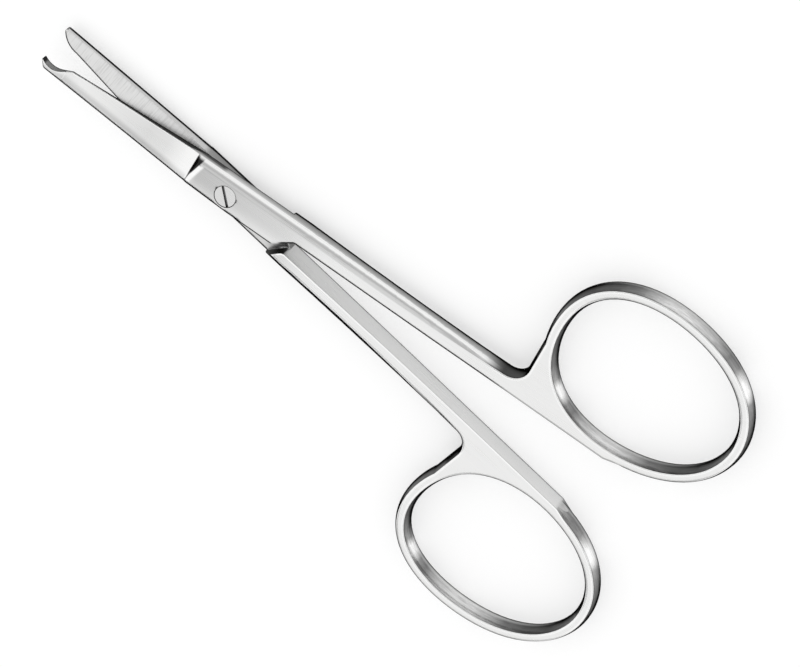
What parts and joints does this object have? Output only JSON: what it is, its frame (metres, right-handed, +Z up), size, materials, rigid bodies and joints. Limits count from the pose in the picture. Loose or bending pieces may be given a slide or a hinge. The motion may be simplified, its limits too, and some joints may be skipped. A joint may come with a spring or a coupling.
{
  "type": "suture scissors",
  "caption": "Small lap-jointed stitch scissors: one blade ends in a thread-lifting hook, the other in a blunt tip, with a slotted pivot screw and two oval finger rings.",
  "frame": {"origin": "on the pivot axis, at the underside of the lap joint", "axes": "+X along the middle line between the two halves, from the pivot to the finger rings; +Y towards the hooked half's ring; +Z up along the pivot axis, towards the screw's slotted head"},
  "size_m": [0.0888, 0.0516, 0.0032],
  "materials": {
    "hooked_half": "satin brushed stainless steel",
    "plain_half": "satin brushed stainless steel",
    "pivot_screw": "satin turned stainless steel"
  },
  "bodies": {
    "plain_half": {"plain_half": "plain_half", "pivot_screw": "pivot_screw"},
    "hooked_half": {"hooked_half": "hooked_half"}
  },
  "joints": [
    {"name": "pivot", "type": "hinge", "parent": "plain_half", "child": "hooked_half", "pos_m": [0, 0, 0.0016], "axis": [0, 0, 1], "range_deg": [-7.2, 75]}
  ]
}
